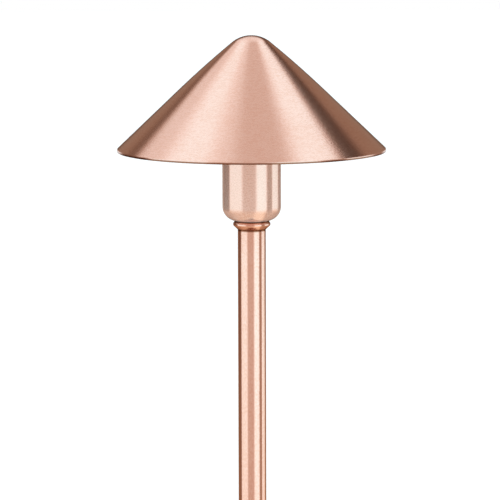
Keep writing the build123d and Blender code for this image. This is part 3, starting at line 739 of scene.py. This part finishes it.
class PATHLIGHT_OT_socket(bpy.types.Operator):
    """Finish the lamp socket, its contacts and its bracket"""

    bl_idname = "pathlight.socket"
    bl_label = "Finish the socket"

    def execute(self, context):
        ceramic = moulded("pressed_ceramic", (0.82, 0.79, 0.71), (0.73, 0.69, 0.60),
                          rough=0.52, grain_scale=900.0, texture=0.25)
        give(ceramic, "lamp_socket")
        give(contact_nickel(), "socket_contacts")
        give(zinc_plate(), "socket_bracket")
        return {"FINISHED"}


class PATHLIGHT_OT_wiring(bpy.types.Operator):
    """Finish the wires, connectors, grommets and gasket"""

    bl_idname = "pathlight.wiring"
    bl_label = "Finish the wiring"

    def execute(self, context):
        jacket = moulded("wire_jacket", (0.020, 0.020, 0.021), (0.034, 0.033, 0.032),
                         rough=0.38, grain_scale=1100.0, texture=0.12)
        nylon = moulded("connector_nylon", (0.045, 0.105, 0.42), (0.035, 0.080, 0.34),
                        rough=0.26, grain_scale=800.0, texture=0.10)
        rubber = moulded("black_rubber", (0.016, 0.016, 0.016), (0.030, 0.029, 0.028),
                         rough=0.58, grain_scale=1300.0, texture=0.30)
        silicone = moulded("red_silicone", (0.24, 0.045, 0.030), (0.19, 0.036, 0.026),
                           rough=0.48, grain_scale=1000.0, texture=0.18)
        give(jacket, "lead_wires")
        give(nylon, "wire_connectors")
        give(rubber, "wire_grommet", "cable_grommet")
        give(silicone, "neck_gasket")
        return {"FINISHED"}


class PATHLIGHT_OT_stake(bpy.types.Operator):
    """Finish the moulded ground stake"""

    bl_idname = "pathlight.stake"
    bl_label = "Finish the stake"

    def execute(self, context):
        stake = tuple(context.scene.path_light_finish.stake)
        scuffed = tuple(part * 2.0 for part in stake)
        plastic = moulded("moulded_stake", stake, scuffed,
                          rough=0.42, grain_scale=850.0, texture=0.28, spread=0.20)
        give(plastic, "ground_stake")
        return {"FINISHED"}


# Studio

# Pale panels and dark screens round the light. Each has the side angle at which it starts, the one at
# which it ends, the width of its soft edge and its level. Angles are in degrees, from left to right,
# and are those of a surface that mirrors the panel to the photograph's camera. The base is the level
# between panels.
UPRIGHT_BASE = 1.10
UPRIGHT_PANELS = [
    (-74, -46, 5, 0.11),
    (-48.5, -14, 4, 1.42),
    (-18.5, 12, 7, 0.60),
    (9, 36, 7, 1.58),
    (31, 46, 5, 0.29),
    (44, 65, 4, 1.55),
    (63.5, 76, 4, 0.30),
]
# Towards the crown the bands right of FLANK_LEAN_FROM lean outward.
FLANK_LEAN_FROM = -30
FLANK_LEAN = 0.09
FLANK_BASE = 0.21
FLANK_PANELS = [
    (-66, -50, 10, 0.10),
    (-57, -34, 8, 0.88),
    (-39, -10, 14, 1.34),
    (-18, 4, 14, 0.96),
    (-8, 23, 10, 0.65),
    (18, 45, 12, 1.32),
    (40.5, 56, 8, 0.045),
]
CROWN_BASE = 0.14
CROWN_PANELS = [
    (-62, 50, 10, 1.05),
]
BELOW_BASE = 0.38
BELOW_PANELS = [
    (-185, -70, 10, 0.90),
    (-38, 8, 10, 0.52),
    (5, 27, 8, 0.90),
    (70, 185, 10, 0.90),
]
# What a level looks like as light: dark levels are warm, and pale ones a little cool.
WARMTH = [
    (0.0, (0.0, 0.0, 0.0)),
    (0.10, (0.16, 0.10, 0.072)),
    (0.25, (0.35, 0.25, 0.185)),
    (0.60, (0.67, 0.60, 0.56)),
    (1.10, (1.00, 1.10, 1.15)),
    (1.75, (1.18, 1.75, 2.0)),
]
BRIGHTEST = 1.75
# Rise of a surface's facing, in degrees, over which each set of panels takes over.
FLANK_RISE = (12, 34)
CROWN_RISE = (50, 64)
BELOW_RISE = (5, -24)
LEAN_RISE = (48, 54)  # over which the flank's bands begin to lean
# Cosines between which a slope seen nearly edge on comes to mirror the edge level, and what the crown
# adds to both.
EDGE_ON = (0.20, 0.09)
CROWN_EDGE_ON = 0.20
EDGE_LEVEL = 0.07
# Tint of the light that comes up from the floor.
FROM_BELOW = (1.22, 1.0, 0.75)
# Where the soft light hangs and what it points at.
SOFTBOX_PLACE = (-0.7, -0.9, 2.2)
SOFTBOX_AIM = (0, 0, 0.2)
FLOOR_GAP = 0.0005  # floor below the stake's tip
FLOOR_GLOW = 0.30  # light that the floor adds for the camera alone
SENSOR_WIDTH = 36.0
CLIP_START = 0.05
CLIP_END = 60.0


def surround(sheet, across, base, panels):
    """Level of light at a side angle: each panel and screen in turn over the base level."""
    level = base
    for start, end, soft, shade in panels:
        rises = sheet.step(across, start - soft / 2, start + soft / 2)
        falls = sheet.step(across, end + soft / 2, end - soft / 2)
        level = sheet.between(rises * falls, level, shade)
    return level


def studio_light(studio):
    """Pale surroundings with dark screens between them, and plain white for the camera and through glass."""
    world = bpy.data.worlds.new("studio")
    world.use_nodes = True
    sheet = Sheet(world.node_tree)
    outward = sheet.add("ShaderNodeTexCoord", output="Generated")
    to_camera = (0, -cos(studio.rise), sin(studio.rise))
    sum_of_both = sheet.add("ShaderNodeVectorMath", {"operation": "ADD"}, {0: outward, 1: to_camera})
    facing = sheet.add("ShaderNodeVectorMath", {"operation": "NORMALIZE"}, {0: sum_of_both})
    split = sheet.add("ShaderNodeSeparateXYZ", sockets={0: facing}).socket.node
    x, y, z = (Wire(sheet, socket) for socket in split.outputs)
    across = sheet.math("ARCTAN2", x, y * -1) * degrees(1)
    rise = sheet.math("ARCSINE", z) * degrees(1)
    upright = surround(sheet, across, UPRIGHT_BASE, UPRIGHT_PANELS)
    outward_share = sheet.math("MAXIMUM", across - FLANK_LEAN_FROM, 0.0) * FLANK_LEAN
    lean = sheet.step(rise, *LEAN_RISE) * outward_share
    flank = surround(sheet, across - lean, FLANK_BASE, FLANK_PANELS)
    crown = surround(sheet, across, CROWN_BASE, CROWN_PANELS)
    above = sheet.step(rise, *CROWN_RISE)
    below = sheet.step(rise, *BELOW_RISE)
    sloping = sheet.step(rise, *FLANK_RISE)
    level = sheet.between(sloping, upright, flank)
    level = sheet.between(above, level, crown)
    level = sheet.between(below, level, surround(sheet, across, BELOW_BASE, BELOW_PANELS))
    grazing = sheet.add("ShaderNodeVectorMath", {"operation": "DOT_PRODUCT"}, {0: facing, 1: to_camera},
                        output="Value")
    edge_on = sheet.step(grazing - above * CROWN_EDGE_ON, *EDGE_ON) * sloping
    level = sheet.between(edge_on, level, EDGE_LEVEL)
    light = sheet.ramp(level / BRIGHTEST, [
        (place / BRIGHTEST, tuple(part / BRIGHTEST for part in shade)) for place, shade in WARMTH
    ])
    light = sheet.add("ShaderNodeMix", {"data_type": "RGBA", "blend_type": "MULTIPLY"},
                      {"Factor": below, "A": light, "B": FROM_BELOW}, output="Result")
    rays = sheet.add("ShaderNodeLightPath").socket.node
    seen = Wire(sheet, rays.outputs["Is Camera Ray"]) + Wire(sheet, rays.outputs["Is Transmission Ray"])
    reflected = sheet.add("ShaderNodeBackground", {}, {"Color": light, "Strength": BRIGHTEST})
    backdrop = sheet.add("ShaderNodeBackground", {}, {"Color": (1, 1, 1), "Strength": 1.0})
    both = sheet.add("ShaderNodeMixShader", {}, {0: seen, 1: reflected, 2: backdrop})
    sheet.add("ShaderNodeOutputWorld", {}, {"Surface": both})
    bpy.context.scene.world = world


def floor_finish(shade):
    """Pale matt floor, clear from below, that reads as white where no shadow falls."""
    made, sheet = new_finish("studio_floor")
    x, y, z = sheet.place()
    mottle = sheet.grain(sheet.point(x, y, z), scale=3.0)
    matt = sheet.add("ShaderNodeBsdfDiffuse", {}, {
        "Color": sheet.blend(mottle, shade, tuple(part * 0.985 for part in shade)),
    })
    rays = sheet.add("ShaderNodeLightPath", output="Is Camera Ray")
    glow = sheet.add("ShaderNodeEmission", {}, {"Color": (1, 1, 1), "Strength": rays * FLOOR_GLOW})
    lit = sheet.add("ShaderNodeAddShader", {}, {0: matt, 1: glow})
    clear = sheet.add("ShaderNodeBsdfTransparent")
    under = sheet.add("ShaderNodeNewGeometry", output="Backfacing")
    sheet.finish(sheet.add("ShaderNodeMixShader", {}, {0: under, 1: lit, 2: clear}))
    return made


class PATHLIGHT_OT_studio(bpy.types.Operator):
    """Set up the floor, the soft light and the camera"""

    bl_idname = "pathlight.studio"
    bl_label = "Set up the studio"

    def execute(self, context):
        scene = context.scene
        studio = scene.path_light_studio
        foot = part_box("ground_stake")[0].z
        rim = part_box("hat")[0].z + scene.path_light_hat.lip
        mesh = bmesh.new()
        bmesh.ops.create_circle(mesh, cap_ends=True, segments=96, radius=studio.floor_radius)
        bmesh.ops.translate(mesh, verts=mesh.verts, vec=(0, 0, foot - FLOOR_GAP))
        data = bpy.data.meshes.new("floor")
        mesh.to_mesh(data)
        mesh.free()
        data.materials.append(floor_finish(tuple(studio.floor)))
        floor = bpy.data.objects.new("floor", data)
        scene.collection.objects.link(floor)
        floor.visible_glossy = False
        studio_light(studio)
        softbox = bpy.data.lights.new("softbox", "AREA")
        softbox.shape = "DISK"
        softbox.size = studio.softbox
        softbox.energy = studio.lamp_power
        lamp = bpy.data.objects.new("softbox", softbox)
        lamp.location = SOFTBOX_PLACE
        lamp.rotation_euler = (Vector(SOFTBOX_AIM) - lamp.location).to_track_quat("-Z", "Y").to_euler()
        lamp.visible_glossy = False
        scene.collection.objects.link(lamp)
        view = bpy.data.cameras.new("photo_view")
        view.lens = studio.lens
        view.sensor_width = SENSOR_WIDTH
        view.dof.use_dof = False
        view.clip_start = CLIP_START
        view.clip_end = CLIP_END
        camera = bpy.data.objects.new("photo_view", view)
        camera.location = (0, -studio.distance * cos(studio.rise), rim + studio.distance * sin(studio.rise))
        camera.rotation_euler = (pi / 2 - studio.pitch, studio.roll, studio.yaw)
        scene.collection.objects.link(camera)
        scene.camera = camera
        scene.view_settings.view_transform = "Standard"
        return {"FINISHED"}


class PATHLIGHT_PT_panel(bpy.types.Panel):
    """List the light's sizes and colours, and the steps that make it"""

    bl_idname = "PATHLIGHT_PT_panel"
    bl_label = "Path light"
    bl_space_type = "VIEW_3D"
    bl_region_type = "UI"
    bl_category = "Path Light"

    def draw(self, context):
        for settings, group in SETTINGS:
            box = self.layout.box()
            for name in group.__annotations__:
                box.prop(getattr(context.scene, settings), name)
        for step in STEPS:
            self.layout.operator(step.bl_idname)


SETTINGS = [
    ("path_light_hat", PathLightHat),
    ("path_light_cup", PathLightCup),
    ("path_light_neck", PathLightNeck),
    ("path_light_lamp", PathLightLamp),
    ("path_light_finish", PathLightFinish),
    ("path_light_studio", PathLightStudio),
]
STEPS = [
    PATHLIGHT_OT_hat,
    PATHLIGHT_OT_cup,
    PATHLIGHT_OT_collar,
    PATHLIGHT_OT_stem,
    PATHLIGHT_OT_lamp,
    PATHLIGHT_OT_fittings,
    PATHLIGHT_OT_socket,
    PATHLIGHT_OT_wiring,
    PATHLIGHT_OT_stake,
    PATHLIGHT_OT_studio,
]


def register():
    for name, group in SETTINGS:
        bpy.utils.register_class(group)
        setattr(bpy.types.Scene, name, PointerProperty(type=group))
    for step in STEPS:
        bpy.utils.register_class(step)
    bpy.utils.register_class(PATHLIGHT_PT_panel)


def unregister():
    bpy.utils.unregister_class(PATHLIGHT_PT_panel)
    for step in reversed(STEPS):
        bpy.utils.unregister_class(step)
    for name, group in reversed(SETTINGS):
        delattr(bpy.types.Scene, name)
        bpy.utils.unregister_class(group)


def main():
    register()
    bpy.ops.pathlight.hat()
    bpy.ops.pathlight.cup()
    bpy.ops.pathlight.collar()
    bpy.ops.pathlight.stem()
    bpy.ops.pathlight.lamp()
    bpy.ops.pathlight.fittings()
    bpy.ops.pathlight.socket()
    bpy.ops.pathlight.wiring()
    bpy.ops.pathlight.stake()
    bpy.ops.pathlight.studio()


if __name__ == "__main__":
    main()
